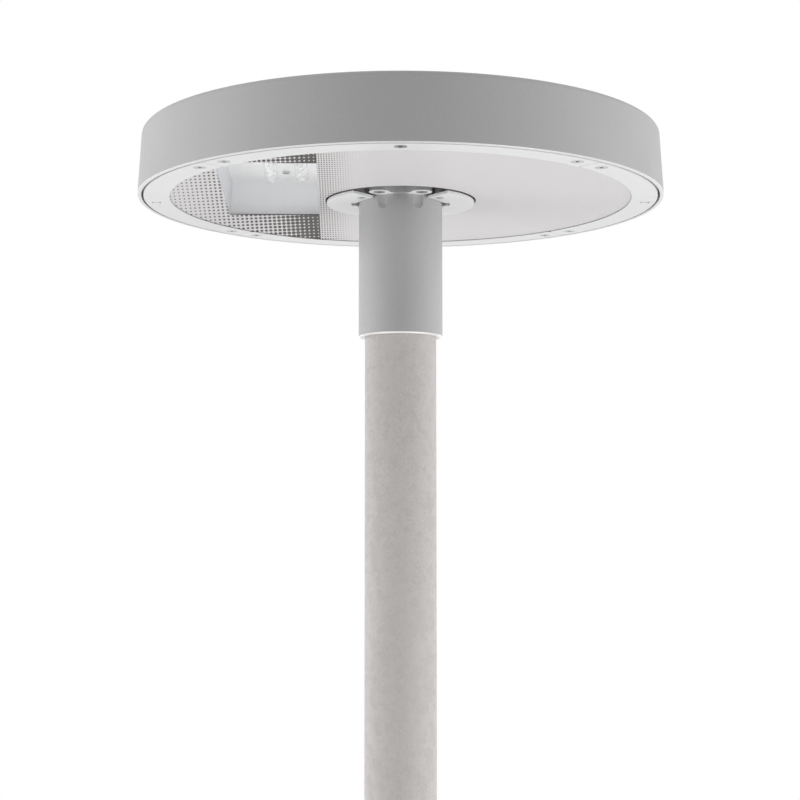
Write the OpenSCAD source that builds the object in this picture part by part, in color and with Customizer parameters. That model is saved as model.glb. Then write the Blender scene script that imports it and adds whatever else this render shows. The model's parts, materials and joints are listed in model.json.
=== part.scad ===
// Post-top street lamp: a flat round head on a stepped round post.
// Origin on the ground under the post's axis, +Z up, the front of the lamp faces -Y.

/* [Post] */
// Height of the glass underside above the ground
light_h = 4000; // [3400:50:4600]
// Outer diameter of the thin upper tube
pole_d = 76.1; // [73:0.1:79]
// Wall of the upper tube
pole_wall = 3.2; // [2.6:0.1:4]
// Outer diameter of the thick lower tube
base_d = 114.3; // [110:0.1:120]
// Wall of the lower tube
base_wall = 4; // [3.6:0.1:4.6]
// Height at which the lower tube ends
shoulder_z = 1300; // [1150:10:1600]
// Length of the shoulder cone
shoulder_len = 100; // [60:5:160]

/* [Base plate] */
// Side of the square base plate
plate_w = 300; // [260:5:360]
// Thickness of the base plate
plate_t = 20; // [15:1:25]
// Distance from an anchor hole's centre to the plate's edge
bolt_edge = 40; // [35:1:50]
// Diameter of the anchor holes
bolt_hole_d = 24; // [20:1:28]
// Diameter of the cable hole in the plate
cable_hole_d = 90; // [75:1:96]
// Height of the stiffening ribs above the plate
rib_h = 90; // [60:5:120]
// Thickness of the ribs
rib_t = 8; // [6:1:10]

/* [Service door] */
// Width of the door opening, measured straight across
door_w = 85; // [78:1:88]
// Height of the door opening
door_h = 380; // [320:5:400]
// Height of the opening's lower edge
door_z = 600; // [550:10:700]
// Gap between the door and the edge of the opening
door_gap = 1.5; // [1:0.1:2]
// Width of the frame's lip behind the door
frame_lip = 10; // [8:0.5:12]

/* [Head] */
// Largest diameter of the head
disc_d = 561; // [540:1:620]
// Height of the rim, from its lower edge to the rounded top edge
rim_h = 69.5; // [68:0.1:90]
// Wall of the canopy
canopy_wall = 3; // [2.5:0.1:3.5]
// Draft of the rim in degrees
rim_draft = 3.3; // [1:0.1:4]
// Radius of the rounded top edge
edge_r = 6; // [4.5:0.5:10]
// Radius of the rounded lower edge
lip_round = 1; // [0.5:0.1:2]
// Width of the rim's lower edge, rounding included
lip_w = 4; // [3.5:0.1:6]
// Rise of the canopy's top towards the middle
crown = 4.5; // [2:0.5:8]
// Width of the dark groove between the rim and the ring
groove_w = 2.4; // [2:0.1:4]
// Width of the ring that holds the glass
ring_w = 27.4; // [26:0.1:32]
// Gap between two ring segments
seam_gap = 1; // [0.5:0.1:1.2]

/* [Glass] */
// Thickness of the glass
glass_t = 5; // [4:0.5:6]
// Diameter of the hub hole in the glass
hub_hole_d = 161; // [159:0.5:162]
// Height of the gaskets above the glass
gasket_t = 3; // [2:0.5:4]

/* [Sleeve] */
// Length of the sleeve below the glass
sleeve_len = 148; // [120:1:180]
// Wall of the sleeve
sleeve_wall = 6.25; // [6:0.05:6.6]
// Clearance between the sleeve's bore and the post, on the radius
sleeve_clear = 0.5; // [0.3:0.05:0.8]
// Radius of the round lugs that take the sleeve's screws
lug_r = 11; // [10:0.5:11.5]
// Distance by which a lug's centre stands outside the sleeve
lug_out = 8.5; // [8:0.5:9]
// Angle of the lugs from the front and the back, in degrees
lug_a = 24.6; // [23:0.1:26]
// Depth of the screwdriver flutes below the lugs
flute_h = 15.5; // [12:0.5:20]

/* [Optic box] */
// Width of the clear window
window_w = 101; // [90:1:102]
// Length of the clear window
window_l = 266; // [230:1:268]
// Depth of the box above the glass
optic_h = 38; // [30:1:38]
// Inward lean of the box's walls over their height
optic_lean = 3; // [2:0.5:6]
// Pitch of the lenses along a strip
lens_pitch = 24; // [22:0.5:26]

/* [Hidden] */
$fn = 96;

// Small distances shared by all the pieces
eps = 0.01;             // overshoot of a cut past a face
side_clear = 0.1;       // between pieces of one body that lie side by side
body_gap = 0.3;         // between curved faces of different bodies
pin_clear = 0.05;       // running clearance of a pin, on the radius

// Post
pole_r = pole_d / 2;
pole_in = pole_r - pole_wall;
base_r = base_d / 2;
base_in = base_r - base_wall;
bolt_span = plate_w - 2 * bolt_edge;
plate_corner = 15;
rib_reach = 60;

// Door. Its edges are straight cuts parallel to Y, its faces follow the tube.
door_top = door_z + door_h;
door_in = base_in + body_gap;
frame_out = base_in - body_gap;
frame_t = 3.2;
frame_in = frame_out - frame_t;
hinge_a = 55;                                       // angle of the hinge from the front, to -X
barrel_r = 4.5;
hinge_r = base_r + barrel_r + 2 * body_gap;
hinge_x = -hinge_r * sin(hinge_a);
hinge_y = -hinge_r * cos(hinge_a);
hinge_pin_r = 2.5;
knuckle_h = 10;
knuckle_gap = 0.3;
hinge_zs = [door_z + 60, door_top - 60];
leaf_t = 3;
leaf_a0 = 34;                                       // where the door's hinge leaf starts
lock_z = door_top - 24;
lock_r = 9;
lock_face = 1.5;
cam_t = 3;
cam_l = 19;
cam_w = 12;
cam_y = sqrt(pow(frame_in, 2) - pow(cam_l, 2)) - 0.4;   // clears the round frame on its way up

// Service compartment
rail_w = 30;
rail_t = 4;
rail_back = sqrt(pow(frame_out, 2) - pow(rail_w / 2, 2));
rail_front = rail_back - rail_t;
rail_z = door_z + 20;
rail_h = 300;
box_w = 44;
box_front = -12;
box_z = door_z + 100;
box_h = 170;
cover_t = 10;
gland_r = 9;
gland_h = 14;
cable_r = 5;
stud_z = rail_z + 25;

// Head levels, all above the glass underside
drop = 1.1;                                         // the ring lies this far below the glass
ring_lip_t = 0.7;
ledge_z = glass_t + gasket_t;
ledge_t = 4;
boss_h = 12;
disc_r = disc_d / 2;
lip_in = disc_r - lip_w;
ring_out = lip_in - groove_w;
ring_in = ring_out - ring_w;
glass_r = ring_in + 4.5;
web_t = 0.7;                                        // rubber outside the glass's edge
ring_body_in = glass_r + web_t + 2 * side_clear;
ledge_in = ring_in - 5;
rim_top = rim_h - drop;
screw_r = ring_out - 13;                            // circle of the ring's screws
seam_a = asin(seam_gap / 2 / ring_out);
seam_screw_a = 4.1;                                  // angle from a seam to its screws
ring_screws = [for (s = [45, 135, 225, 315]) each [s - seam_screw_a, s + seam_screw_a],
    90, 270];

// Hub
sleeve_in = pole_r + sleeve_clear;
sleeve_r = sleeve_in + sleeve_wall;
sleeve_edge = 1.5;                                  // bevel of the sleeve's mouth
lug_c = sleeve_r + lug_out;
lug_h = 14;
flute_r = lug_r - 0.4;
flute_end = sqrt(pow(flute_r, 2) - pow(lug_out, 2)) - flute_h;  // where the ball end starts
stop_in = 30;
stop_z = -4;
lug_angles = [for (s = [90, 270]) each [s - lug_a, s + lug_a]];
fillet_r = 7;                                       // hollow between a lug and the sleeve
hub_hole_r = hub_hole_d / 2;
rim_wall = 4;
hub_rim_in = hub_hole_r + 1;
hub_rim_out = hub_rim_in + rim_wall;
wing_gap = 1.2;
wing_r = hub_hole_r - wing_gap;
wing_t = 2.5;
wing_z = -3.5;
wing_screw_a = 40.2;
wing_screw = (sleeve_r + 9.4) * [cos(wing_screw_a), sin(wing_screw_a)];
wing_post_r = 5.5;
hub_block_r = lug_c + 12;

// Optics, turned a little about the post's axis with the print of the glass
optic_turn = 1.95;
optic_z = glass_t + 1;
window_u = -(hub_rim_out + 3);                      // the window's edge next to the hub
window_v = 106;                                     // the window's far edge
optic_wall = 1.2;
optic_top = optic_z + optic_h;
board_t = 1.6;
pad_t = 1;
chassis_z = optic_top + optic_wall + board_t + pad_t;
chassis_t = 3;
chassis_r = ledge_in - 6;
strip_w = 14;
strip_mid = 14;                                     // from the box's middle line to the strips' own
strip_off = 17;                                     // from there to a strip
strip_n = floor((window_l - 2 * optic_lean - 20) / lens_pitch);
strip_l = strip_n * lens_pitch;
lens_r = 6;
lens_split = 4;                                     // half the distance of a lens's two domes
optic_u = window_u - window_w / 2;
optic_v = window_v - window_l / 2;

// Gear above the printed part of the glass
pillar_r = 6;
pillar_c = chassis_r - 17;
pillar_angles = [0, 60, 120, 180, 240, 300];
driver_x = 105;
driver_w = 60;
driver_l = 190;
driver_h = 30;
term_x = driver_x + driver_w + 10;
term_w = 22;
term_l = 60;
term_h = 24;
surge_w = 40;
surge_l = 35;
surge_h = 28;
surge_y = -driver_l / 2 - 10;
wire_r = 2.5;
lead_r = 3.5;
lead_bend = 7.5;
nut_h = 3.5;
gland_top = chassis_z + chassis_t + nut_h + 0.5;      // end of the gland's thread
lead_z = gland_top + lead_bend;
supply_x = term_x + term_w / 2;
led_x = driver_x + driver_w / 2;
led_y = 60;
plug_l = 12;
m20_r = 10;

// Screws: nominal radius, head radius, length
m6 = [3, 5.8, 22];
m6_long = [3, 5.8, 26];
m5 = [2.5, 4.75, 14];
m4 = [2, 4, 12];

silver = [0.72, 0.73, 0.74];
white_paint = [0.88, 0.88, 0.88];
steel = [0.66, 0.66, 0.67];
zinc = [0.78, 0.76, 0.75];
black = [0.08, 0.08, 0.08];

// Points of an arc in a plane
function arc(cx, cy, r, a0, a1, n) =
    [for (i = [0 : n]) let (a = a0 + (a1 - a0) * i / n) [cx + r * cos(a), cy + r * sin(a)]];

// Outer radius of the drafted rim at a height above the glass
function rim_at(z) = disc_r - (z + drop) * tan(rim_draft);

// A tube or ring
module ring(r_out, r_in, h) {
    difference() {
        cylinder(r = r_out, h = h);
        translate([0, 0, -eps]) cylinder(r = r_in, h = h + 2 * eps);
    }
}

// A piece of a tube's wall between two angles, counted from +X
module shell(r_out, r_in, h, a0, a1) {
    rotate([0, 0, a0]) rotate_extrude(angle = a1 - a0)
        translate([r_in, 0]) square([r_out - r_in, h]);
}

// Countersunk screw, head down at z = 0, with a hexagon socket
module csk_screw(s) {
    cone_h = s[1] - s[0];
    difference() {
        union() {
            translate([0, 0, 0.4]) cylinder(r1 = s[1], r2 = s[0], h = cone_h);
            cylinder(r = s[1], h = 0.4);
            translate([0, 0, 0.4]) cylinder(r = s[0], h = s[2] - 0.4);
        }
        translate([0, 0, -eps]) cylinder(r = s[0] * 0.72, h = s[0] * 0.9, $fn = 6);
    }
}

// The hole for that screw through a plate, with its countersink
module csk_hole(s, through) {
    translate([0, 0, -eps]) cylinder(r = s[1] + 0.6, h = 0.4 + eps);
    translate([0, 0, 0.4 - eps]) cylinder(r1 = s[1] + 0.6, r2 = s[0] + 0.3, h = s[1] - s[0] + 0.3);
    translate([0, 0, -eps]) cylinder(r = s[0] + 0.3, h = through + 2 * eps);
}

// Pan-head screw, head below z = 0, shank above
module pan_screw(s) {
    difference() {
        union() {
            translate([0, 0, -s[0] * 1.1]) cylinder(r = s[1], h = s[0] * 1.1);
            cylinder(r = s[0], h = s[2]);
        }
        translate([0, 0, -s[0] * 1.1 - eps]) cylinder(r = s[0] * 0.72, h = s[0] * 0.8, $fn = 6);
    }
}

module at_head() { translate([0, 0, light_h]) children(); }

module on_circle(r, angles) {
    for (a = angles) rotate([0, 0, a]) translate([r, 0, 0]) children();
}

module in_optic() { rotate([0, 0, optic_turn]) translate([optic_u, optic_v, 0]) children(); }

// ---- Post ----

module base_plate() {
    half = plate_w / 2 - plate_corner;
    color(zinc) difference() {
        union() {
            translate([-plate_w / 2, -half, 0]) cube([plate_w, 2 * half, plate_t]);
            translate([-half, -plate_w / 2, 0]) cube([2 * half, plate_w, plate_t]);
            for (x = [-half, half], y = [-half, half])
                translate([x, y, 0]) cylinder(r = plate_corner, h = plate_t);
            for (a = [0 : 90 : 270]) rotate([0, 0, a])
                translate([base_r + body_gap, rib_t / 2, plate_t]) rotate([90, 0, 0])
                    linear_extrude(rib_t)
                        polygon([[0, -1], [rib_reach, -1], [rib_reach, 12], [14, rib_h], [0, rib_h]]);
        }
        translate([0, 0, -eps]) cylinder(d = cable_hole_d, h = plate_t + 2 * eps);
        for (x = [-1, 1], y = [-1, 1])
            translate([x * bolt_span / 2, y * bolt_span / 2, -eps])
                cylinder(d = bolt_hole_d, h = plate_t + 2 * eps);
    }
}

module lower_tube() {
    color(zinc) difference() {
        translate([0, 0, plate_t]) ring(base_r, base_in, shoulder_z - plate_t);
        translate([-door_w / 2, -base_r - 1, door_z]) cube([door_w, base_r, door_h]);
    }
}

module shoulder_cone() {
    color(zinc) rotate_extrude()
        polygon([[base_in, shoulder_z], [base_r, shoulder_z],
            [pole_r, shoulder_z + shoulder_len], [pole_in, shoulder_z + shoulder_len]]);
}

module upper_tube() {
    tube_z = shoulder_z + shoulder_len;
    color(zinc) translate([0, 0, tube_z])
        ring(pole_r, pole_in, light_h + stop_z - body_gap - tube_z);
}

// Reinforcement welded behind the edges of the door opening
module door_frame() {
    aperture = door_w / 2 - frame_lip;
    margin = 14;
    color(steel) difference() {
        intersection() {
            translate([0, 0, door_z - margin]) ring(frame_out, frame_in, door_h + 2 * margin);
            translate([-base_r, -base_r, door_z - margin])
                cube([2 * base_r, base_r - 22, door_h + 2 * margin]);
        }
        translate([-aperture, -base_r, door_z + frame_lip])
            cube([2 * aperture, base_r, door_h - 2 * frame_lip]);
    }
}

// A knuckle's round barrel, its seam turned away from the straps
module barrel() {
    translate([hinge_x, hinge_y, 0]) rotate([0, 0, 270 - hinge_a]) cylinder(r = barrel_r, h = knuckle_h);
}

// Knuckles welded to the tube
module door_hinge_bracket() {
    color(zinc) for (z = hinge_zs, side = [-1, 1])
        translate([0, 0, z + side * (knuckle_h + knuckle_gap) - knuckle_h / 2]) difference() {
            union() {
                barrel();
                shell(base_r + body_gap + leaf_t, base_r + side_clear, knuckle_h,
                    270 - hinge_a - 14, 270 - hinge_a);
            }
            translate([hinge_x, hinge_y, -eps])
                cylinder(r = hinge_pin_r + side_clear / 2, h = knuckle_h + 2 * eps);
        }
}

module door_hinge_pins() {
    pin_l = 3 * knuckle_h + 2 * knuckle_gap + 4;
    color(steel) for (z = hinge_zs) translate([hinge_x, hinge_y, z - pin_l / 2]) {
        cylinder(r = hinge_pin_r, h = pin_l);
        translate([0, 0, pin_l]) cylinder(r = hinge_pin_r + 1, h = 1.5);
    }
}

// Strap from a knuckle onto the door, lifted off the tube where it crosses the gap
module door_leaf() {
    difference() {
        shell(base_r + body_gap + leaf_t, base_r - 1, knuckle_h, 270 - hinge_a, 270 - leaf_a0);
        translate([0, 0, -1])
            shell(base_r + body_gap, base_r - 2, knuckle_h + 2, 268 - hinge_a, 278 - hinge_a + 3);
    }
}

module service_door() {
    half = door_w / 2 - door_gap;
    color(zinc) difference() {
        union() {
            intersection() {
                translate([0, 0, door_z + door_gap]) ring(base_r, door_in, door_h - 2 * door_gap);
                translate([-half, -base_r - 1, door_z]) cube([2 * half, base_r - 20, door_h]);
            }
            for (z = hinge_zs) translate([0, 0, z - knuckle_h / 2]) {
                barrel();
                door_leaf();
            }
        }
        for (z = hinge_zs) translate([hinge_x, hinge_y, z - knuckle_h])
            cylinder(r = hinge_pin_r + pin_clear, h = 2 * knuckle_h);
        translate([0, 0, lock_z]) rotate([90, 0, 0])
            cylinder(r = lock_r + pin_clear, h = base_r + lock_face + 1);
    }
}

// Quarter-turn lock, shown unlocked, with its cam lying across the door
module door_lock() {
    face_y = base_r + lock_face;
    color(steel) translate([0, 0, lock_z]) rotate([90, 0, 0]) difference() {
        union() {
            translate([0, 0, cam_y - cam_t]) cylinder(r = lock_r, h = face_y - cam_y + cam_t);
            translate([0, -cam_w / 2, cam_y - cam_t]) cube([cam_l, cam_w, cam_t]);
            translate([0, 0, base_r + body_gap]) cylinder(r = lock_r + 2, h = lock_face);
        }
        translate([0, 0, face_y - 5]) cylinder(r = 5, h = 10, $fn = 3);
    }
}

module mounting_rail() {
    color(steel) translate([-rail_w / 2, rail_front, rail_z]) cube([rail_w, rail_t, rail_h]);
}

module fuse_box() {
    wall = 2.5;
    color([0.75, 0.76, 0.78]) difference() {
        translate([-box_w / 2, box_front, box_z]) cube([box_w, rail_front - box_front, box_h]);
        translate([-box_w / 2 + wall, box_front - 1, box_z + wall])
            cube([box_w - 2 * wall, rail_front - box_front - wall + 1, box_h - 2 * wall]);
    }
}

module fuse_box_cover() {
    color([0.62, 0.64, 0.67]) difference() {
        translate([-box_w / 2, box_front - cover_t, box_z]) cube([box_w, cover_t, box_h]);
        translate([-box_w / 2 + 6, box_front - cover_t - 1, box_z + 60])
            cube([box_w - 12, 3, box_h - 90]);
        for (z = [box_z + 12, box_z + box_h - 12])
            translate([0, box_front - cover_t, z]) rotate([-90, 0, 0]) csk_hole(m4, cover_t);
    }
}

module fuse_box_screws() {
    color(steel) for (z = [box_z + 12, box_z + box_h - 12])
        translate([0, box_front - cover_t, z]) rotate([-90, 0, 0]) csk_screw(m4);
}

module fuse_box_glands() {
    color(black) {
        translate([0, 0, box_z + box_h]) cylinder(r = gland_r, h = gland_h);
        translate([0, 0, box_z - gland_h]) cylinder(r = gland_r + 2, h = gland_h);
    }
}

module earth_stud() {
    color("goldenrod") translate([0, rail_front, stud_z]) rotate([90, 0, 0]) {
        cylinder(r = 4, h = 22);
        cylinder(r = 8, h = 1.6);
        translate([0, 0, 1.6]) cylinder(r = 7.5, h = 6.5, $fn = 6);
    }
}

module riser_cable() {
    start_z = box_z + box_h + gland_h;
    end_z = light_h + chassis_z - 2 * plug_l - body_gap;
    color(black) translate([0, 0, start_z]) cylinder(r = cable_r, h = end_z - start_z);
}

module pole_top_grommet() {
    color(black) translate([0, 0, light_h + stop_z - body_gap - plug_l])
        ring(pole_in - side_clear, cable_r + side_clear, plug_l);
}

// ---- Hub ----

// Fill between a lug and the sleeve on the side of the middle, hollowed to a radius
module lug_fillet(side) {
    reach = sleeve_r + fillet_r;
    turn = acos((pow(reach, 2) + pow(lug_c, 2) - pow(fillet_r + lug_r, 2)) / (2 * reach * lug_c));
    f = [reach * cos(turn), side * reach * sin(turn)];
    linear_extrude(lug_h) difference() {
        polygon([[sleeve_in + 2, 0], [lug_c, 0], f, [f[0] * sleeve_in / reach + 2,
            f[1] * sleeve_in / reach]]);
        translate(f) circle(r = fillet_r + 0.05);
    }
}

module sleeve() {
    color(silver) at_head() difference() {
        union() {
            translate([0, 0, -sleeve_len])
                cylinder(r1 = sleeve_r - sleeve_edge, r2 = sleeve_r, h = sleeve_edge);
            translate([0, 0, sleeve_edge - sleeve_len])
                cylinder(r = sleeve_r, h = sleeve_len + lug_h - sleeve_edge);
            on_circle(lug_c, lug_angles) cylinder(r = lug_r, h = lug_h);
            for (s = [90, 270], side = [-1, 1])
                rotate([0, 0, s + side * lug_a]) lug_fillet(-side);
        }
        translate([0, 0, -sleeve_len - eps]) cylinder(r = sleeve_in, h = sleeve_len + stop_z);
        translate([0, 0, -sleeve_len - 1]) cylinder(r = stop_in, h = sleeve_len + lug_h + 2);
        // seat of the rubber ring in the mouth
        translate([0, 0, -sleeve_len + 4]) cylinder(r = sleeve_in + 3, h = 6);
        // flutes with a ball end that let the screwdriver reach the lugs
        on_circle(lug_c, lug_angles) translate([0, 0, flute_end]) {
            cylinder(r = flute_r, h = -flute_end);
            sphere(r = flute_r);
        }
        on_circle(lug_c, lug_angles) csk_hole(m6_long, lug_h);
        grub_places() cylinder(r = 4 + side_clear / 2, h = 20);
    }
}

// Radial places of the clamping screws, low on the sleeve's rear half
module grub_places() {
    for (a = [30, 90, 150])
        rotate([0, 0, a]) translate([sleeve_in - 4, 0, -sleeve_len + 28]) rotate([0, 90, 0])
            children();
}

module grub_screws() {
    color(black) at_head() grub_places() difference() {
        translate([0, 0, 4 - sleeve_clear + body_gap])
            cylinder(r = 4, h = sleeve_wall + sleeve_clear - body_gap - 0.3);
        translate([0, 0, sleeve_wall]) cylinder(r = 2.3, h = 10, $fn = 6);
    }
}

module sleeve_seal() {
    color(black) at_head() translate([0, 0, -sleeve_len + 4])
        ring(sleeve_in + 3 - side_clear, pole_r + body_gap, 6);
}

module sleeve_screws() {
    color(steel) at_head() on_circle(lug_c, lug_angles) csk_screw(m6_long);
}

// One cover plate of the hub opening, drawn at +X
module wing() {
    half_a = 51.5;
    difference() {
        shell(wing_r, sleeve_r + 0.5, wing_t, -half_a, half_a);
        // keyhole notch next to the sleeve
        translate([sleeve_r - 2, -6.5, -1]) cube([10, 13, wing_t + 2]);
        translate([0, 0, -1]) linear_extrude(wing_t + 2)
            polygon([[sleeve_r - 4, -17], [sleeve_r - 4, 17], [sleeve_r + 4, 6.5],
                [sleeve_r + 4, -6.5]]);
        for (side = [-1, 1]) {
            // slanted ends that clear the lugs
            translate([0, 0, -1]) linear_extrude(wing_t + 2)
                polygon([[28, side * 34.5], [48, side * 68], [30, side * 90], [10, side * 60]]);
            translate([wing_screw[0], side * wing_screw[1], 0]) csk_hole(m4, wing_t);
        }
    }
}

module wing_left() {
    color(white_paint) at_head() translate([0, 0, wing_z]) rotate([0, 0, 180]) wing();
}

module wing_right() {
    color(white_paint) at_head() translate([0, 0, wing_z]) wing();
}

module wing_screws() {
    color(steel) at_head() for (x = [-1, 1], y = [-1, 1])
        translate([x * wing_screw[0], y * wing_screw[1], wing_z]) csk_screw(m4);
}

// ---- Head ----

// Carries the canopy above it, the optic box and the gear below it
module chassis() {
    color([0.7, 0.7, 0.7]) at_head() difference() {
        union() {
            translate([0, 0, chassis_z]) cylinder(r = chassis_r, h = chassis_t);
            translate([0, 0, lug_h]) cylinder(r = hub_block_r, h = chassis_z - lug_h + 1);
            translate([0, 0, ledge_z]) ring(hub_rim_out, hub_rim_in, chassis_z - ledge_z + 1);
            for (x = [-1, 1], y = [-1, 1])
                translate([x * wing_screw[0], y * wing_screw[1], wing_z + wing_t])
                    cylinder(r = wing_post_r, h = lug_h - wing_z - wing_t + 1);
        }
        translate([0, 0, lug_h - 1]) cylinder(r = stop_in, h = chassis_z - lug_h + 1);
        translate([0, 0, chassis_z - 1]) cylinder(r = m20_r + side_clear, h = chassis_t + 2);
        on_circle(lug_c, lug_angles)
            translate([0, 0, lug_h - 1]) cylinder(r = m6[0] + side_clear / 2, h = m6_long[2] - lug_h + 2);
        for (x = [-1, 1], y = [-1, 1])
            translate([x * wing_screw[0], y * wing_screw[1], wing_z + wing_t - 1])
                cylinder(r = m4[0] + side_clear / 2, h = m4[2]);
        on_circle(pillar_c, pillar_angles)
            translate([0, 0, chassis_z - 1]) cylinder(r = m5[0] + 0.3, h = chassis_t + 2);
        translate([supply_x, 0, chassis_z - 1]) cylinder(r = lead_r + 1, h = chassis_t + 2);
        for (x = [led_x, -led_x])
            translate([x, led_y, chassis_z - 1]) cylinder(r = lead_r + 1, h = chassis_t + 2);
    }
}

module chassis_screws() {
    color(steel) at_head() on_circle(pillar_c, pillar_angles)
        translate([0, 0, chassis_z]) pan_screw(m5);
}

module canopy() {
    z_in = rim_top - canopy_wall;
    arc_z = rim_top - edge_r;
    arc_x = rim_at(arc_z) - edge_r;
    outer = concat([[lip_in, -drop]],
        arc(disc_r - lip_round, lip_round - drop, lip_round, -90, -rim_draft, 8),
        arc(arc_x, arc_z, edge_r, 0, 88, 12),
        [[0, rim_top + crown]]);
    inner = concat([[0, z_in + crown]],
        arc(arc_x, arc_z, edge_r - canopy_wall, 88, 0, 10),
        [[rim_at(ledge_z + ledge_t) - canopy_wall - 3, ledge_z + ledge_t],
            [ledge_in, ledge_z + ledge_t], [ledge_in, ledge_z], [lip_in, ledge_z]]);
    color(silver) at_head() difference() {
        union() {
            rotate_extrude() polygon(concat(outer, inner));
            on_circle(screw_r, ring_screws)
                translate([0, 0, ledge_z + 1]) cylinder(r = 6, h = ledge_t + boss_h - 1);
            on_circle(pillar_c, pillar_angles) translate([0, 0, chassis_z + chassis_t])
                cylinder(r = pillar_r, h = z_in + 1 - chassis_z - chassis_t);
        }
        on_circle(screw_r, ring_screws)
            translate([0, 0, ledge_z - 1])
                cylinder(r = m6[0] + side_clear / 2, h = m6[2] - drop - ledge_z + 1.5);
        on_circle(pillar_c, pillar_angles) translate([0, 0, chassis_z + chassis_t - 1])
            cylinder(r = m5[0] + side_clear / 2, h = m5[2] - chassis_t + 2);
    }
}

// A quarter of the ring that holds the glass, drawn about the direction a
module frame_segment(a) {
    difference() {
        rotate([0, 0, a - 45 + seam_a]) rotate_extrude(angle = 90 - 2 * seam_a)
            polygon([[ring_in, -drop], [ring_out, -drop], [ring_out, ledge_z],
                [ring_body_in, ledge_z], [ring_body_in, ring_lip_t - drop],
                [ring_in, ring_lip_t - drop]]);
        on_circle(screw_r, ring_screws) translate([0, 0, -drop]) csk_hole(m6, ledge_z + drop);
        // small relief at both inner corners
        on_circle(ring_in, [a - 45, a + 45]) translate([0, 0, -drop - 1])
            cylinder(r = 2.4, h = ring_lip_t + 1 + eps);
    }
}

// Slot with two short legs in the left and right segment, drawn at +X
module hook_slot() {
    slot_w = 2.6;
    slot_l = 9.6;
    leg_w = 1.6;
    leg_l = 6;
    slot_deep = 3;
    translate([screw_r + 2 - slot_l / 2, -slot_w / 2, -drop - 1]) {
        cube([slot_l, slot_w, slot_deep + 1]);
        for (x = [0, slot_l - leg_w]) translate([x, 0, 0]) cube([leg_w, leg_l, slot_deep + 1]);
    }
}

module frame_front() { color(white_paint) at_head() frame_segment(270); }

module frame_rear() { color(white_paint) at_head() frame_segment(90); }

module frame_left() {
    color(white_paint) at_head() difference() {
        frame_segment(180);
        mirror([1, 0, 0]) hook_slot();
    }
}

module frame_right() {
    color(white_paint) at_head() difference() {
        frame_segment(0);
        hook_slot();
    }
}

module frame_screws() {
    color(steel) at_head() on_circle(screw_r, ring_screws)
        translate([0, 0, -drop]) csk_screw(m6);
}

module glass_pane() {
    color([0.85, 0.85, 0.84, 0.5]) at_head() ring(glass_r, hub_hole_r, glass_t);
}

// Channel of rubber round the glass's edge, with its upper leg under the ledge
module outer_gasket() {
    web_in = glass_r + side_clear;
    color(black) at_head() rotate_extrude()
        polygon([[ring_in + 0.2, ring_lip_t - drop], [web_in + web_t, ring_lip_t - drop],
            [web_in + web_t, ledge_z], [ledge_in + 1, ledge_z], [ledge_in + 1, glass_t],
            [web_in, glass_t], [web_in, 0], [ring_in + 0.2, 0]]);
}

module inner_gasket() {
    color(black) at_head() translate([0, 0, glass_t])
        ring(hub_rim_out, hub_rim_in, gasket_t);
}

// Sloping wall of the optic box as one half-space prism, cut off above and below
module optic_shape(grow, z0, z1) {
    lean = optic_lean / optic_h;
    intersection() {
        rotate([90, 0, 0]) translate([0, 0, -window_l]) linear_extrude(2 * window_l)
            polygon([[-window_w / 2 - grow + lean * (z0 - optic_z), z0],
                [window_w / 2 + grow - lean * (z0 - optic_z), z0],
                [window_w / 2 + grow - lean * (z1 - optic_z), z1],
                [-window_w / 2 - grow + lean * (z1 - optic_z), z1]]);
        rotate([90, 0, 90]) translate([0, 0, -window_l]) linear_extrude(2 * window_l)
            polygon([[-window_l / 2 - grow + lean * (z0 - optic_z), z0],
                [window_l / 2 + grow - lean * (z0 - optic_z), z0],
                [window_l / 2 + grow - lean * (z1 - optic_z), z1],
                [-window_l / 2 - grow + lean * (z1 - optic_z), z1]]);
    }
}

module strip_places() {
    for (side = [-1, 1]) in_optic() translate([strip_mid + side * strip_off, 0, 0]) children();
}

module optic_screw_places() {
    in_optic() for (k = [-1, 0, 1])
        translate([strip_mid, k * strip_l / 2 * 0.7, 0]) children();
}

module optic_box() {
    color([0.86, 0.87, 0.88]) at_head() difference() {
        intersection() {
            in_optic() optic_shape(optic_wall, optic_z, optic_top + optic_wall);
            cylinder(r = ledge_in - 1.5, h = light_h);
        }
        intersection() {
            in_optic() optic_shape(0, optic_z - 1, optic_top);
            translate([0, 0, -1]) cylinder(r = ledge_in - 1.5 - optic_wall, h = light_h);
        }
        strip_places() translate([-strip_w / 2 - 0.2, -strip_l / 2 - 0.2, optic_top - 1])
            cube([strip_w + 0.4, strip_l + 0.4, optic_wall + 2]);
        optic_screw_places() translate([0, 0, optic_top - 1])
            cylinder(r = m4[0] + 0.3, h = optic_wall + 2);
    }
}

module lens_strips() {
    color([0.95, 0.95, 0.97, 0.8]) at_head() strip_places() {
        translate([-strip_w / 2, -strip_l / 2, optic_top - 1])
            cube([strip_w, strip_l, optic_wall + 1]);
        for (i = [0 : strip_n - 1], k = [-1, 1])
            translate([0, (i + 0.5) * lens_pitch - strip_l / 2 + k * lens_split, optic_top - 1])
                intersection() {
                    sphere(r = lens_r, $fn = 32);
                    translate([-lens_r, -lens_r, -lens_r]) cube([2 * lens_r, 2 * lens_r, lens_r + 0.5]);
                }
    }
}

module board_plate(z, t, grow) {
    w = window_w - 2 * optic_lean - 8;
    l = window_l - 2 * optic_lean - 8;
    difference() {
        intersection() {
            in_optic() translate([-w / 2, -l / 2, z]) cube([w, l, t]);
            cylinder(r = ledge_in - 10, h = light_h);
        }
        optic_screw_places() translate([0, 0, z - 1]) cylinder(r = m4[0] + 0.3, h = t + 2);
        translate([-led_x, led_y, z - 1]) cylinder(r = grow, h = t + 2);
    }
}

module led_board() {
    color([0.93, 0.94, 0.93]) at_head() board_plate(optic_top + optic_wall, board_t, 1);
}

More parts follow.
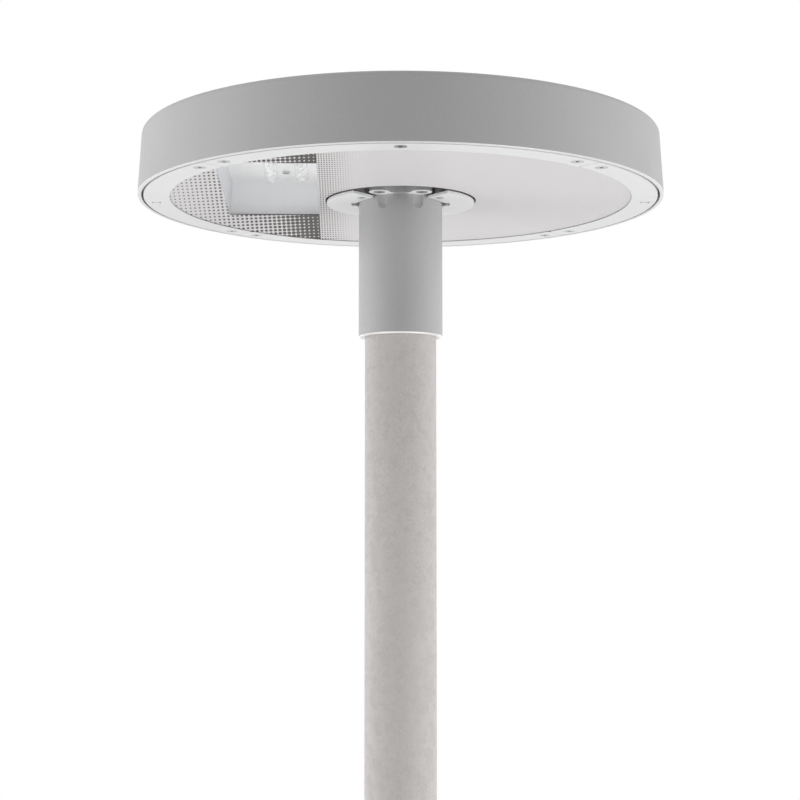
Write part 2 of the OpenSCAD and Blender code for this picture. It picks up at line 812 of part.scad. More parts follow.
module thermal_pad() {
    color([0.5, 0.52, 0.55]) at_head()
        board_plate(optic_top + optic_wall + board_t, pad_t, lead_r + 1);
}

module optic_screws() {
    stack = optic_wall + board_t + pad_t;
    color(steel) at_head() optic_screw_places() translate([0, 0, optic_top])
        pan_screw([m4[0], m4[1], stack - eps]);
}

// ---- Gear ----

module led_driver() {
    color([0.92, 0.92, 0.92]) at_head()
        translate([driver_x, -driver_l / 2, chassis_z - driver_h]) difference() {
            cube([driver_w, driver_l, driver_h]);
            for (y = [-1, driver_l - 9])
                translate([driver_w / 2 - 20, y, -1]) cube([40, 10, driver_h - 3]);
            for (y = [4, driver_l - 4])
                translate([driver_w / 2, y, 0]) cylinder(r = m4[0] + 0.3, h = driver_h + 1);
        }
}

module driver_screws() {
    color(steel) at_head() for (side = [-1, 1])
        translate([led_x, side * (driver_l / 2 - 4), chassis_z - 4])
            pan_screw([m4[0], m4[1], 4 - eps]);
}

module terminal_block() {
    color([0.9, 0.9, 0.88]) at_head()
        translate([term_x, -term_l / 2, chassis_z - term_h]) difference() {
            cube([term_w, term_l, term_h]);
            for (i = [0 : 4]) translate([term_w / 2, (i + 0.5) * term_l / 5, -1])
                cylinder(r = 3, h = 6);
        }
}

// Short wires from the driver to the terminals and to the surge protector
module driver_wires() {
    color("firebrick") at_head() {
        for (y = [-20, 0, 20])
            translate([driver_x + driver_w, y, chassis_z - 10]) rotate([0, 90, 0])
                cylinder(r = wire_r, h = term_x - driver_x - driver_w);
        for (x = [-25, 25])
            translate([led_x + x, surge_y, chassis_z - 12]) rotate([-90, 0, 0])
                cylinder(r = wire_r, h = -driver_l / 2 - surge_y);
    }
}

module surge_protector() {
    color([0.2, 0.2, 0.22]) at_head()
        translate([led_x - surge_w / 2 - 8, surge_y - surge_l, chassis_z - surge_h])
            cube([surge_w + 16, surge_l, surge_h]);
}

module cable_gland() {
    bore_r = lead_r + 0.3;
    color(black) at_head() difference() {
        union() {
            translate([0, 0, chassis_z]) cylinder(r = m20_r, h = gland_top - chassis_z);
            translate([0, 0, chassis_z - 6]) cylinder(r = 13, h = 6, $fn = 6);
            translate([0, 0, chassis_z - 2 * plug_l]) cylinder(r = 11, h = 2 * plug_l - 6);
        }
        translate([0, 0, chassis_z - 2 * plug_l - 1]) cylinder(r = bore_r, h = 50);
    }
}

module gland_locknut() {
    color(black) at_head() translate([0, 0, chassis_z + chassis_t]) difference() {
        cylinder(r = 13, h = nut_h, $fn = 6);
        translate([0, 0, -1]) cylinder(r = m20_r + side_clear, h = 8);
    }
}

// A lead that rises at x0, crosses above the chassis and goes down at x1
module crossing_lead(x0, z0, x1, z1, y) {
    dir = x1 > x0 ? 1 : -1;
    low = lead_z - lead_bend;
    translate([x0, y, z0]) cylinder(r = lead_r, h = low - z0);
    translate([x1, y, z1]) cylinder(r = lead_r, h = low - z1);
    translate([x0 + dir * lead_bend, y, lead_z]) rotate([0, dir * 90, 0])
        cylinder(r = lead_r, h = abs(x1 - x0) - 2 * lead_bend);
    for (end = [[x0, dir], [x1, -dir]])
        translate([end[0] + end[1] * lead_bend, y, low])
            rotate([90, 0, 0]) mirror([end[1] > 0 ? 1 : 0, 0, 0])
                rotate_extrude(angle = 90) translate([lead_bend, 0]) circle(r = lead_r);
}

module supply_lead() {
    color(black) at_head()
        crossing_lead(0, chassis_z - 2 * plug_l, supply_x, chassis_z, 0);
}

module led_lead() {
    color([0.85, 0.85, 0.85]) at_head()
        crossing_lead(led_x, chassis_z, -led_x, chassis_z - pad_t, led_y);
}

base_plate();
lower_tube();
shoulder_cone();
upper_tube();
door_frame();
door_hinge_bracket();
door_hinge_pins();
service_door();
door_lock();
mounting_rail();
fuse_box();
fuse_box_cover();
fuse_box_screws();
fuse_box_glands();
earth_stud();
riser_cable();
pole_top_grommet();
sleeve();
sleeve_seal();
grub_screws();
sleeve_screws();
chassis();
chassis_screws();
cable_gland();
gland_locknut();
supply_lead();
led_lead();
wing_left();
wing_right();
wing_screws();
inner_gasket();
outer_gasket();
glass_pane();
frame_front();
frame_rear();
frame_left();
frame_right();
frame_screws();
canopy();
optic_box();
lens_strips();
led_board();
thermal_pad();
optic_screws();
led_driver();
driver_screws();
terminal_block();
driver_wires();
surge_protector();
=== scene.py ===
"""Looks of the post-top street lamp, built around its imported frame. Metres, +Z up, front faces -Y."""

import json
import math

import bpy
from mathutils import Matrix, Vector
from mathutils.geometry import delaunay_2d_cdt


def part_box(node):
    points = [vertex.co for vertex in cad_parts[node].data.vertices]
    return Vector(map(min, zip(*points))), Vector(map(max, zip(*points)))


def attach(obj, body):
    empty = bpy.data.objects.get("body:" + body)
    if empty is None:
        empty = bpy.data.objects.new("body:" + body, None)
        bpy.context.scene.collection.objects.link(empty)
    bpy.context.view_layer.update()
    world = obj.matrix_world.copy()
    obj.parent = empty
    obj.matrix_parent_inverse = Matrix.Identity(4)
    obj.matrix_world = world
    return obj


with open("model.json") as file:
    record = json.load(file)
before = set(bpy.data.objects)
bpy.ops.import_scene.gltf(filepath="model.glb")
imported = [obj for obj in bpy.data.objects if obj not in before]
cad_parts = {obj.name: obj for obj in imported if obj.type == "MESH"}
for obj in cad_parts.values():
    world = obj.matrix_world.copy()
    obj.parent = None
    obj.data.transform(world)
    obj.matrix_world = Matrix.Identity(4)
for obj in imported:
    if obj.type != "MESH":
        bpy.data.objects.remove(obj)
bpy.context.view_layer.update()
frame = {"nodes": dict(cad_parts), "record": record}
NODES = frame["nodes"]
MM = 0.001

# ---- Places, from the frame ----

GLASS_LOW, GLASS_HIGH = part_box("glass_pane")
GLASS_Z = GLASS_LOW.z                       # underside of the glass and of the sleeve's lugs
GLASS_R = GLASS_HIGH.x
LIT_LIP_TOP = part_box("canopy")[0].z + 0.7 * MM  # top of the painted light band on the canopy's lip, standing in for light from below
BEVEL_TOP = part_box("sleeve")[0].z + 1.2 * MM        # top of the bevel at the sleeve's foot
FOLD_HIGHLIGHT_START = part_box("optic_box")[1].z - 3.2 * MM    # where the painted highlight along the optic box's fold begins

# ---- Glass print: on the glass's underside, turned a little about the post's axis ----

PRINT_TURN = math.radians(1.95)
PRINT_Z = GLASS_Z + 0.1 * MM
PRINT_THICK = 0.05 * MM
PRINT_OUTER = GLASS_R - 0.5 * MM
HUB_HOLE_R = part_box("inner_gasket")[1].x - 5 * MM   # the gasket ends 5 mm outside the hole
PRINT_INNER = HUB_HOLE_R + 0.3 * MM
PRINT_EDGE = -88.2 * MM                     # line between the coarse and the fine dots
WINDOW_U = (-188.0 * MM, PRINT_EDGE)
WINDOW_V = (-181.5 * MM, 81.3 * MM)
DOT_COLOR = (0.045, 0.040, 0.034)
DOTS_GROW = (-245 * MM, -138 * MM)          # the coarse dots grow, from the rim inwards,
DOTS_MERGE = (-138 * MM, PRINT_EDGE)        # and then run together towards the edge line
FINE_SHRINK = (PRINT_EDGE, -50 * MM)        # the fine dots get smaller past the edge line
FINE_FADE = (-75 * MM, -45 * MM)            # and fade out
EDGE_LINE = (PRINT_EDGE - 0.9 * MM, PRINT_EDGE - 0.7 * MM)

# The dots draw out towards the back. Columns fan out from a point in front of the lamp, and
# rows are spaced evenly in 1 / (y + reach).
ROW_REACH = 1953.52 * MM
COARSE_COLUMNS = {"count": 538.95, "side": 1.84 * MM, "reach": 2679.53 * MM, "start": -1.15}
FINE_COLUMNS = {"count": 684.872, "side": 20.647 * MM, "reach": ROW_REACH, "start": -11.6256}
COARSE_ROWS = {"count": 222.341, "skew": 0.102676, "start": 119.765}
FINE_ROWS = {"count": 343.225, "skew": 0.0, "start": 273.097}

# ---- Flange of the optic box, between the window's front end and the box ----

APRON_Z = GLASS_HIGH.z + 0.3 * MM
APRON_THICK = 0.4 * MM
APRON_R = GLASS_R - 1 * MM
APRON_V = (WINDOW_V[0] - 3 * MM, -157 * MM)
APRON_STEPS = 16                            # points along each of its sides

# ---- Camera and light ----

CAMERA_DISTANCE = 1918.5 * MM               # in front of the post's axis
CAMERA_BELOW = 387.9 * MM                   # below the glass
CAMERA_PITCH = math.radians(5.157)
CAMERA_SHIFT = -0.00075
LENS_MM = 81.34
SENSOR_MM = 36.0

# Stops run from -1 at 0 to +1 at 1 along each axis of the light's direction
SIDE_STOPS = [(0.0, 0.80), (0.22, 0.60), (0.46, 0.33), (0.53, 0.33), (0.78, 0.55), (1.0, 0.72)]
DEPTH_STOPS = [(0.0, 0.5), (0.35, 0.633), (0.6, 0.833), (1.0, 1.0)]
HEIGHT_STOPS = [(0.0, 1.0), (0.35, 0.72), (0.5, 0.42), (0.7, 0.4), (1.0, 0.44)]
WORLD_STRENGTH = 4.7

# Place from the centre of the glass's underside, height of the aim on the axis above or below
# that centre, width and height of the lamp, all in metres, and its watts
AREA_LIGHTS = {
    "side_left": ((-2.6, -0.6, -0.2), 0.0, (1.2, 3.0), 1),
    "side_right": ((2.6, -0.6, -0.2), 0.0, (1.2, 3.0), 0.5),
    "low_left": ((-2.0, -0.6, -3.2), 0.0, (1.6, 1.6), 19),
    "low_right": ((2.0, -0.6, -3.2), 0.0, (1.6, 1.6), 19),
    "post_right": ((1.3, -0.9, -1.5), -0.9, (0.5, 1.6), 5),
}
FLOOR_R = 9.0
FLOOR_Z = -0.001


def place_camera():
    """The lamp's head, seen from the front and from below its glass."""
    data = bpy.data.cameras.new("camera")
    data.lens = LENS_MM
    data.sensor_width = SENSOR_MM
    data.shift_x = CAMERA_SHIFT
    data.clip_end = 200
    camera = bpy.data.objects.new("camera", data)
    camera.location = (0, -CAMERA_DISTANCE, GLASS_Z - CAMERA_BELOW)
    camera.rotation_euler = (math.pi / 2 + CAMERA_PITCH, 0, 0)
    bpy.context.scene.collection.objects.link(camera)
    bpy.context.scene.camera = camera


# ---- Light ----

def world_light():
    """White surroundings for the eye; light that is strong from both sides and from below."""
    world = bpy.data.worlds.new("studio")
    bpy.context.scene.world = world
    world.use_nodes = True
    nodes, links = world.node_tree.nodes, world.node_tree.links
    nodes.clear()
    coord = nodes.new("ShaderNodeTexCoord")
    split = nodes.new("ShaderNodeSeparateXYZ")
    links.new(coord.outputs["Generated"], split.inputs[0])

    def ramp(source, stops):
        spread = nodes.new("ShaderNodeMapRange")
        spread.inputs["From Min"].default_value = -1
        links.new(source, spread.inputs["Value"])
        colors = nodes.new("ShaderNodeValToRGB")
        colors.color_ramp.interpolation = "EASE"
        links.new(spread.outputs["Result"], colors.inputs["Fac"])
        while len(colors.color_ramp.elements) < len(stops):
            colors.color_ramp.elements.new(0.5)
        for element, (at, value) in zip(colors.color_ramp.elements, stops):
            element.position = at
            element.color = (value, value, value, 1)
        return colors.outputs["Color"]

    def product(a, b):
        mix = nodes.new("ShaderNodeMix")
        mix.data_type = "RGBA"
        mix.blend_type = "MULTIPLY"
        mix.inputs["Factor"].default_value = 1
        links.new(a, mix.inputs["A"])
        links.new(b, mix.inputs["B"])
        return mix.outputs["Result"]

    light = nodes.new("ShaderNodeBackground")
    light.inputs["Strength"].default_value = WORLD_STRENGTH
    sides_and_depth = product(ramp(split.outputs["X"], SIDE_STOPS), ramp(split.outputs["Y"], DEPTH_STOPS))
    links.new(product(sides_and_depth, ramp(split.outputs["Z"], HEIGHT_STOPS)), light.inputs["Color"])
    eye = nodes.new("ShaderNodeBackground")
    eye.inputs["Color"].default_value = (1, 1, 1, 1)
    path = nodes.new("ShaderNodeLightPath")
    either = nodes.new("ShaderNodeMixShader")
    links.new(path.outputs["Is Camera Ray"], either.inputs["Fac"])
    links.new(light.outputs[0], either.inputs[1])
    links.new(eye.outputs[0], either.inputs[2])
    out = nodes.new("ShaderNodeOutputWorld")
    links.new(either.outputs[0], out.inputs[0])


def area_light(name, place, aim, size, power):
    data = bpy.data.lights.new(name, "AREA")
    data.shape = "RECTANGLE"
    data.size, data.size_y = size
    data.energy = power
    lamp = bpy.data.objects.new(name, data)
    lamp.location = Vector(place) + Vector((0, 0, GLASS_Z))
    lamp.visible_camera = False
    towards = Vector((0, 0, GLASS_Z + aim)) - lamp.location
    lamp.rotation_euler = towards.to_track_quat("-Z", "Y").to_euler()
    bpy.context.scene.collection.objects.link(lamp)


def floor():
    place = (0, 0, FLOOR_Z)
    bpy.ops.mesh.primitive_circle_add(vertices=96, radius=FLOOR_R, fill_type="NGON", location=place)
    disc = bpy.context.active_object
    disc.name = "floor"
    surface = Surface("studio_floor", 0.8, (0.86, 0.86, 0.85))
    surface.grain(600, 0.015)
    disc.data.materials.append(surface.material)


def studio():
    world_light()
    for name, values in AREA_LIGHTS.items():
        area_light(name, *values)
    floor()


# ---- Materials ----

class Surface:
    """A Principled material that is built up by layers of noise on colour, roughness and bump."""

    def __init__(self, name, rough, color, metallic=0.0, **fixed):
        self.material = bpy.data.materials.new(name)
        self.material.use_nodes = True
        self.nodes = self.material.node_tree.nodes
        self.links = self.material.node_tree.links
        self.shader = self.nodes["Principled BSDF"]
        self.shader.inputs["Metallic"].default_value = metallic
        self.shader.inputs["Roughness"].default_value = rough
        self.shader.inputs["Base Color"].default_value = (*color, 1)
        for socket, value in fixed.items():
            self.shader.inputs[socket.replace("_", " ")].default_value = value
        coordinates = self.nodes.new("ShaderNodeTexCoord")
        self.coord = coordinates.outputs["Object"]
        self.facing = coordinates.outputs["Normal"]
        self.base = (*color, 1)
        self.color = None
        self.normal = None

    def placed(self, stretch=(1, 1, 1), shift=(0, 0, 0), turn=0.0):
        """Object coordinates, scaled, turned about Z and moved."""
        place = self.nodes.new("ShaderNodeMapping")
        place.inputs["Scale"].default_value = stretch
        place.inputs["Location"].default_value = shift
        place.inputs["Rotation"].default_value = (0, 0, turn)
        self.links.new(self.coord, place.inputs["Vector"])
        return place.outputs[0]

    def axes(self, vector):
        """The X, Y and Z of a vector."""
        split = self.nodes.new("ShaderNodeSeparateXYZ")
        self.links.new(vector, split.inputs[0])
        return split.outputs["X"], split.outputs["Y"], split.outputs["Z"]

    def noise(self, scale, detail=3.0, stretch=(1, 1, 1), seed=0.0):
        """Noise in object space, in cycles a metre, drawn out along an axis by stretch."""
        texture = self.nodes.new("ShaderNodeTexNoise")
        texture.inputs["Scale"].default_value = scale
        texture.inputs["Detail"].default_value = detail
        shift = (seed, seed * 1.7, seed * 0.6)
        self.links.new(self.placed(stretch, shift), texture.inputs["Vector"])
        return texture.outputs["Fac"]

    def cells(self, scale, seed=0.0):
        """Random value per cell, as of crystals."""
        texture = self.nodes.new("ShaderNodeTexVoronoi")
        texture.inputs["Scale"].default_value = scale
        self.links.new(self.placed(shift=(seed, seed, seed)), texture.inputs["Vector"])
        split = self.nodes.new("ShaderNodeSeparateColor")
        self.links.new(texture.outputs["Color"], split.inputs[0])
        return split.outputs[0]

    def spread(self, value, low, high, new_low=0.0, new_high=1.0):
        """Maps low to new_low and high to new_high, and holds the value at both ends."""
        ramp = self.nodes.new("ShaderNodeMapRange")
        ramp.inputs["From Min"].default_value = low
        ramp.inputs["From Max"].default_value = high
        ramp.inputs["To Min"].default_value = new_low
        ramp.inputs["To Max"].default_value = new_high
        self.links.new(value, ramp.inputs["Value"])
        return ramp.outputs["Result"]

    def compute(self, operation, *values):
        """One math node; the values are sockets or numbers."""
        node = self.nodes.new("ShaderNodeMath")
        node.operation = operation
        for socket, value in zip(node.inputs, values):
            if isinstance(value, (int, float)):
                socket.default_value = value
            else:
                self.links.new(value, socket)
        return node.outputs[0]

    def tint(self, mask, color, amount=1.0):
        """Mixes a colour in where the mask is 1."""
        mix = self.nodes.new("ShaderNodeMix")
        mix.data_type = "RGBA"
        if self.color is None:
            mix.inputs["A"].default_value = self.base
        else:
            self.links.new(self.color, mix.inputs["A"])
        mix.inputs["B"].default_value = (*color, 1)
        self.links.new(self.compute("MULTIPLY", mask, amount), mix.inputs["Factor"])
        self.color = mix.outputs["Result"]
        self.links.new(self.color, self.shader.inputs["Base Color"])

    def shade(self, mask, amount):
        """Lightens or darkens the base colour by up to amount where the mask is 1."""
        self.tint(mask, [min(c * (1 + amount), 1) for c in self.base[:3]])

    def vary_rough(self, mask, low, high):
        self.links.new(self.spread(mask, 0.3, 0.7, low, high), self.shader.inputs["Roughness"])

    def bump(self, height, distance):
        relief = self.nodes.new("ShaderNodeBump")
        relief.inputs["Distance"].default_value = distance
        relief.inputs["Strength"].default_value = 1.0
        self.links.new(height, relief.inputs["Height"])
        if self.normal is not None:
            self.links.new(self.normal, relief.inputs["Normal"])
        self.normal = relief.outputs["Normal"]
        self.links.new(self.normal, self.shader.inputs["Normal"])

    def glow(self, strength):
        self.shader.inputs["Emission Color"].default_value = (1, 1, 1, 1)
        self.shader.inputs["Emission Strength"].default_value = strength

    def grain(self, scale, amount, bump_mm=0.0, seed=0.0):
        """Fine mottling that both darkens and lightens, with an optional bump."""
        mottling = self.noise(scale, 2.0, seed=seed)
        self.shade(self.spread(mottling, 0.42, 0.25), -amount)
        self.shade(self.spread(mottling, 0.58, 0.78), amount)
        if bump_mm:
            self.bump(mottling, bump_mm * MM)

    def flakes(self, lighter, darker, seed=0.0):
        """Metal flakes of a powder coat."""
        specks = self.cells(2600, seed)
        self.shade(self.spread(specks, 0.7, 1.0), lighter)
        self.shade(self.spread(specks, 0.3, 0.0), -darker)


def galvanised():
    """Hot-dip galvanised steel, dulled to a warm matt grey with a faint crystal pattern."""
    surface = Surface("galvanised_steel", 0.62, (0.57, 0.544, 0.535), 0.15)
    crystals = surface.cells(150)
    surface.shade(surface.spread(crystals, 0.6, 1.0), -0.07)
    surface.grain(380, 0.16, 0.04)
    surface.grain(800, 0.22, 0.02, seed=4)
    drift = surface.noise(9, 3, (1, 1, 0.25), seed=2)
    surface.shade(surface.spread(drift, 0.45, 0.75), 0.05)
    surface.shade(surface.spread(drift, 0.5, 0.25), -0.05)
    surface.vary_rough(crystals, 0.52, 0.70)
    return surface.material


def silver_coat(name):
    """Fine metallic powder coat with a faint orange peel."""
    surface = Surface(name, 0.42, (0.47, 0.47, 0.472), 0.35)
    surface.flakes(0.10, 0.08)
    surface.bump(surface.noise(260, 2, seed=1), 0.03 * MM)
    surface.vary_rough(surface.noise(14, 3, seed=3), 0.38, 0.47)
    return surface


def canopy_paint():
    """Silver powder coat, with painted light on the lip's underside: a pale band that stands in for the
    strong light from below.
    """
    surface = silver_coat("canopy_paint")
    height = surface.axes(surface.coord)[2]
    # Painted light: the lip's downward face is tinted pale, as if lit strongly from below.
    surface.tint(surface.spread(height, LIT_LIP_TOP + 0.3 * MM, LIT_LIP_TOP), (0.76, 0.76, 0.765))
    return surface.material


def sleeve_paint():
    """Silver powder coat, with painted light on the lugs' undersides and on the bevel at the foot, which
    face down into the strong light from below.
    """
    surface = silver_coat("sleeve_paint")
    height = surface.axes(surface.coord)[2]
    from_lugs = surface.compute("ABSOLUTE", surface.compute("SUBTRACT", height, GLASS_Z))
    # Painted light on the lugs' downward faces.
    surface.tint(surface.spread(from_lugs, 0.3 * MM, 0.2 * MM), (0.95, 0.95, 0.95))
    # Painted light on the bevel at the sleeve's foot.
    surface.tint(surface.spread(height, BEVEL_TOP + 0.1 * MM, BEVEL_TOP), (0.90, 0.90, 0.90))
    return surface.material


def silver_paint_lit_from_below():
    """Pale silver powder coat, as on the ring and the cover plates; its paleness over the housing's
    silver is painted light from below.
    """
    # Painted light: a paler copy of the silver coat, standing in for the strong light from below.
    surface = Surface("white_paint", 0.45, (0.745, 0.747, 0.755), 0.06)
    surface.flakes(0.06, 0.05, seed=2)
    surface.bump(surface.noise(300, 2, seed=5), 0.02 * MM)
    surface.vary_rough(surface.noise(20, 3, seed=6), 0.40, 0.50)
    return surface.material


def stainless():
    surface = Surface("stainless", 0.3, (0.58, 0.58, 0.58), 1.0)
    turned = surface.noise(2500, 2, (1, 1, 0.08))
    surface.grain(700, 0.12)
    surface.vary_rough(turned, 0.22, 0.40)
    surface.bump(turned, 0.01 * MM)
    return surface.material


def cast_aluminium():
    surface = Surface("cast_aluminium", 0.55, (0.60, 0.60, 0.61), 0.8)
    surface.grain(800, 0.12, 0.05)
    surface.grain(60, 0.05, seed=3)
    surface.vary_rough(surface.noise(90, 3, seed=2), 0.48, 0.66)
    return surface.material


def brass():
    surface = Surface("brass", 0.35, (0.62, 0.45, 0.18), 1.0)
    surface.grain(500, 0.15, 0.01)
    surface.vary_rough(surface.noise(90, 3, seed=2), 0.28, 0.45)
    return surface.material


def plain_plastic(name, color, rough, metallic=0.0):
    surface = Surface(name, rough, color, metallic)
    surface.grain(1500, 0.06, 0.02)
    surface.vary_rough(surface.noise(40, 3, seed=1), rough - 0.06, rough + 0.06)
    return surface.material


def rubber(name, color):
    surface = Surface(name, 0.7, color)
    surface.grain(1200, 0.25, 0.03)
    surface.vary_rough(surface.noise(50, 3, seed=2), 0.62, 0.8)
    return surface.material


def glass_seal():
    """Pale silicone channel of the glass, with painted shadow where it fills the line between ring and
    glass.
    """
    surface = Surface("seal_grey", 0.6, (0.78, 0.78, 0.77))
    surface.grain(900, 0.05, 0.02)
    height = surface.axes(surface.coord)[2]
    # Painted shadow: the seal is darkened below the glass, in the gap by the ring's lip.
    surface.tint(surface.spread(height, GLASS_Z + 0.5 * MM, GLASS_Z + 0.4 * MM), (0.05, 0.05, 0.05))
    surface.vary_rough(surface.noise(50, 3, seed=2), 0.52, 0.68)
    return surface.material


def clear_glass():
    """Toughened glass, seen through, with a faint green tint and a few dust specks."""
    surface = Surface("glass", 0.03, (0.93, 0.95, 0.94), Alpha=0.04)
    surface.shade(surface.spread(surface.noise(900, 2, seed=8), 0.68, 0.8), -0.15)
    surface.vary_rough(surface.noise(30, 2, seed=9), 0.02, 0.06)
    return surface.material


def lens_plastic():
    """Clear moulded lenses with painted glints: cells painted bright and dark stand in for highlights on
    the facets, with a faint painted glow.
    """
    surface = Surface("lens", 0.08, (0.97, 0.975, 0.98))
    # Painted light: a faint glow, though the lenses are no lamp.
    surface.glow(0.14)
    facets_and_glints = surface.cells(330)
    # Painted highlights and shade: bright and dark cells stand in for glints and dark refractions on the
    # facets.
    surface.shade(surface.spread(facets_and_glints, 0.5, 0.1), -0.35)
    surface.shade(surface.spread(surface.cells(520, 3), 0.35, 0.1), -0.25)
    surface.bump(facets_and_glints, 1.2 * MM)
    surface.vary_rough(facets_and_glints, 0.04, 0.14)
    return surface.material


def board():
    """White solder mask with faint copper tracks."""
    surface = Surface("board", 0.4, (0.80, 0.82, 0.81))
    tracks = surface.noise(160, 0.5, (1, 0.15, 1), seed=3)
    surface.shade(surface.spread(tracks, 0.55, 0.58), -0.08)
    surface.bump(tracks, 0.02 * MM)
    return surface.material


def reflector():
    """Bright sheet of the optic box, with painted light: a faint glow, painted shade on its wall that
    faces +X, and a painted highlight along its fold.
    """
    surface = Surface("reflector", 0.32, (0.90, 0.905, 0.92), 0.05)
    # Painted light: the sheet glows faintly, though it is no lamp.
    surface.glow(0.1)
    surface.grain(500, 0.04, 0.01)
    # Painted shade on the wall that faces +X.
    surface.tint(surface.spread(surface.axes(surface.facing)[0], 0.5, 0.9), (0.52, 0.53, 0.56))
    height = surface.axes(surface.coord)[2]
    # Painted highlight along the fold at the top of the box.
    surface.tint(surface.spread(height, FOLD_HIGHLIGHT_START, FOLD_HIGHLIGHT_START + 0.6 * MM), (1, 1, 1), 0.6)
    surface.vary_rough(surface.noise(25, 3, seed=5), 0.28, 0.38)
    return surface.material


# ---- Glass print ----

def print_columns(surface, x, y, count, side, reach, start):
    """Number of the dot column: count * (x + side) / (y + reach) + start."""
    across = surface.compute("MULTIPLY", surface.compute("ADD", x, side), count)
    away = surface.compute("ADD", y, reach)
    return surface.compute("ADD", surface.compute("DIVIDE", across, away), start)


def print_rows(surface, x, y, count, skew, start):
    """Number of the dot row: start - count * (1 - skew * x) / (y + ROW_REACH)."""
    along = surface.compute("MULTIPLY_ADD", x, skew * count, -count)
    away = surface.compute("ADD", y, ROW_REACH)
    return surface.compute("ADD", surface.compute("DIVIDE", along, away), start)


def dot_mask(surface, column, row, radius):
    """1 inside a grid's round dots; column and row count cells, radius is a share of a cell."""
    squares = []
    for place in (column, row):
        off_middle = surface.compute("SUBTRACT", surface.compute("FRACT", place), 0.5)
        squares.append(surface.compute("POWER", off_middle, 2))
    from_middle = surface.compute("SQRT", surface.compute("ADD", *squares))
    return surface.spread(surface.compute("SUBTRACT", from_middle, radius), 0.02, -0.02)


def glass_print_paint():
    """Pale print with dots that grow towards the window's edge by the hub and fade beyond it."""
    surface = Surface("glass_print", 0.5, (0.655, 0.637, 0.646), Specular_IOR_Level=0.1)
    surface.grain(700, 0.012)
    x, y, _ = surface.axes(surface.coord)
    u = surface.axes(surface.placed(turn=-PRINT_TURN))[0]
    soft = 0.3 * MM
    on_left = surface.spread(u, PRINT_EDGE + soft, PRINT_EDGE)
    on_right = surface.spread(u, PRINT_EDGE, PRINT_EDGE + soft)

    growing = surface.spread(u, *DOTS_GROW, 0.16, 0.38)
    merging = surface.spread(u, *DOTS_MERGE, 0, 0.205)
    columns = print_columns(surface, x, y, **COARSE_COLUMNS)
    rows = print_rows(surface, x, y, **COARSE_ROWS)
    coarse = dot_mask(surface, columns, rows, surface.compute("ADD", growing, merging))
    surface.tint(surface.compute("MULTIPLY", coarse, on_left), DOT_COLOR)

    shrinking = surface.spread(u, *FINE_SHRINK, 0.31, 0.2)
    columns = print_columns(surface, x, y, **FINE_COLUMNS)
    rows = print_rows(surface, x, y, **FINE_ROWS)
    fine = surface.compute("MULTIPLY", dot_mask(surface, columns, rows, shrinking), on_right)
    fading = surface.spread(u, *FINE_FADE, 0.9, 0)
    surface.tint(surface.compute("MULTIPLY", fine, fading), DOT_COLOR)

    line = surface.spread(u, *EDGE_LINE)
    surface.tint(surface.compute("MULTIPLY", line, on_left), DOT_COLOR, 0.8)
    surface.vary_rough(surface.noise(40, 3, seed=5), 0.45, 0.55)
    return surface.material


MATERIALS = {
    "galvanised_steel": galvanised,
    "canopy_paint": canopy_paint,
    "sleeve_paint": sleeve_paint,
    "white_paint": silver_paint_lit_from_below,
    "stainless": stainless,
    "cast_aluminium": cast_aluminium,
    "brass": brass,
    "glass": clear_glass,
    "seal_grey": glass_seal,
    "lens": lens_plastic,
    "board": board,
    "reflector": reflector,
    "rubber": lambda: rubber("rubber", (0.035, 0.035, 0.036)),
    "pad": lambda: rubber("pad", (0.3, 0.32, 0.34)),
    "cable": lambda: rubber("cable", (0.03, 0.03, 0.03)),
    "cable_grey": lambda: rubber("cable_grey", (0.45, 0.45, 0.45)),
    "plastic_black": lambda: plain_plastic("plastic_black", (0.03, 0.03, 0.032), 0.45),
    "plastic_grey": lambda: plain_plastic("plastic_grey", (0.36, 0.38, 0.40), 0.5),
    "plastic_white": lambda: plain_plastic("plastic_white", (0.76, 0.76, 0.75), 0.42),
    "wire_red": lambda: plain_plastic("wire_red", (0.42, 0.04, 0.03), 0.4),
    "zinc_black": lambda: plain_plastic("zinc_black", (0.05, 0.05, 0.055), 0.38, 0.8),
}

# Nodes whose material differs from the rest of their slot: a pale seal, and silver coats with painted
# light on their downward faces
FINISH = {"outer_gasket": "seal_grey", "sleeve": "sleeve_paint", "canopy": "canopy_paint"}


def paint_nodes():
    """Each CAD node gets the material of its slot. Returns the materials by slot."""
    made = {}
    for row in frame["record"]["subparts"]:
        slot = FINISH.get(row["node"], row["material_slot"])
        if slot not in made:
            made[slot] = MATERIALS[slot]()
        mesh = NODES[row["node"]].data
        mesh.materials.clear()
        mesh.materials.append(made[slot])
    return made


# ---- Pieces of the head ----

def turned_corners(u_range, v_range):
    """Corners in X and Y of a rectangle that is turned with the print, counter-clockwise."""
    (u0, u1), (v0, v1) = u_range, v_range
    turn = Matrix.Rotation(PRINT_TURN, 2)
    return [turn @ Vector(corner) for corner in ((u0, v0), (u1, v0), (u1, v1), (u0, v1))]


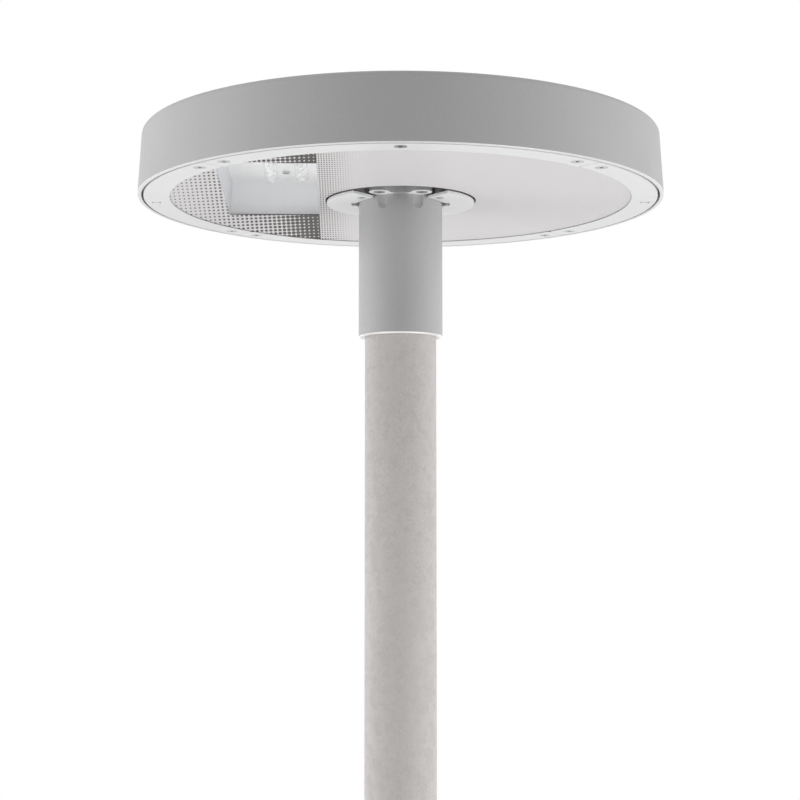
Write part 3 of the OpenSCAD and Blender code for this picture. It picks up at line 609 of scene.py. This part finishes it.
def sides(corners):
    """Each corner with the next one."""
    return zip(corners, corners[1:] + corners[:1])


def level_sheet(name, points, faces, z, thickness, offset, material):
    """A flat sheet at height z; offset -1 grows it down and 1 grows it up."""
    mesh = bpy.data.meshes.new(name)
    mesh.from_pydata([(point.x, point.y, z) for point in points], [], faces)
    mesh.materials.append(material)
    piece = bpy.data.objects.new(name, mesh)
    bpy.context.scene.collection.objects.link(piece)
    solidify = piece.modifiers.new("thickness", "SOLIDIFY")
    solidify.thickness = thickness
    solidify.offset = offset
    return piece


def glass_print():
    """Thin printed ring on the glass's underside, with the clear window left out."""
    window = turned_corners(WINDOW_U, WINDOW_V)
    points, edges = [], []

    def add_loop(loop):
        first = len(points)
        points.extend(loop)
        edges.extend((first + i, first + (i + 1) % len(loop)) for i in range(len(loop)))

    for radius, count in ((PRINT_OUTER, 256), (PRINT_INNER, 128)):
        angles = [2 * math.pi * i / count for i in range(count)]
        add_loop([Vector((radius * math.cos(a), radius * math.sin(a))) for a in angles])
    add_loop(window)
    verts, _, faces = delaunay_2d_cdt(points, edges, [], 1, 1e-6)[:3]

    def printed(face):
        middle = sum((verts[i] for i in face), Vector((0, 0))) / len(face)
        in_window = all((end - start).cross(middle - start) > 0 for start, end in sides(window))
        return PRINT_INNER < middle.length < PRINT_OUTER and not in_window

    piece = level_sheet("glass_print", verts, [f for f in faces if printed(f)], PRINT_Z, PRINT_THICK, -1,
                        glass_print_paint())
    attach(piece, "head")


def optic_apron(material):
    """Thin flange of the optic box that closes the window's front end, inside the glass."""
    points = []
    for start, end in sides(turned_corners(WINDOW_U, APRON_V)):
        for i in range(APRON_STEPS):
            point = start.lerp(end, i / APRON_STEPS)
            points.append(point if point.length < APRON_R else point.normalized() * APRON_R)
    outline = list(range(len(points)))
    piece = level_sheet("optic_apron", points, [outline], APRON_Z, APRON_THICK, 1, material)
    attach(piece, "head")


bpy.context.scene.view_settings.view_transform = "Standard"
place_camera()
studio()
materials = paint_nodes()
glass_print()
optic_apron(materials["reflector"])
